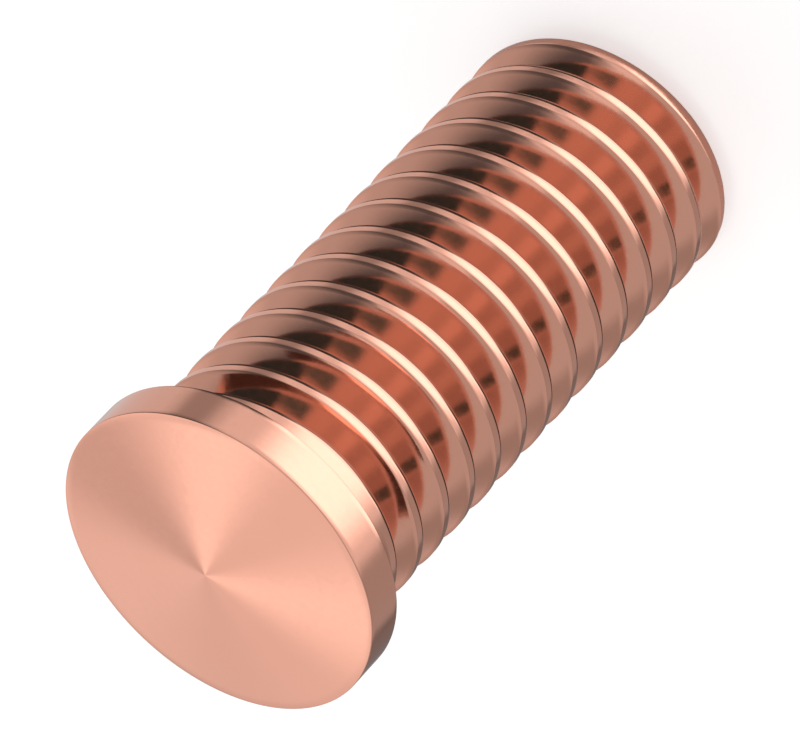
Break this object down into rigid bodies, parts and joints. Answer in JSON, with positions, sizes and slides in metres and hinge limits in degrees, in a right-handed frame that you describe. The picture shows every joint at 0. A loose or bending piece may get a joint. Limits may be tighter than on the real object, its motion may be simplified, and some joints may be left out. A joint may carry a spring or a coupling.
{
  "type": "weld stud",
  "caption": "Copper-plated steel weld stud: a threaded shank with a round flange whose shallow conical face is arc-welded to sheet metal, leaving a fixed thread for a nut.",
  "frame": {"origin": "middle of the flat threaded end that the stud stands on", "axes": "+Z along the stud's axis, from the threaded end to the weld face"},
  "size_m": [0.006, 0.006, 0.0126],
  "materials": {
    "copper_plate": "mild steel with bright copper plating"
  },
  "bodies": {
    "root": {"weld_stud": "copper_plate"}
  },
  "joints": []
}
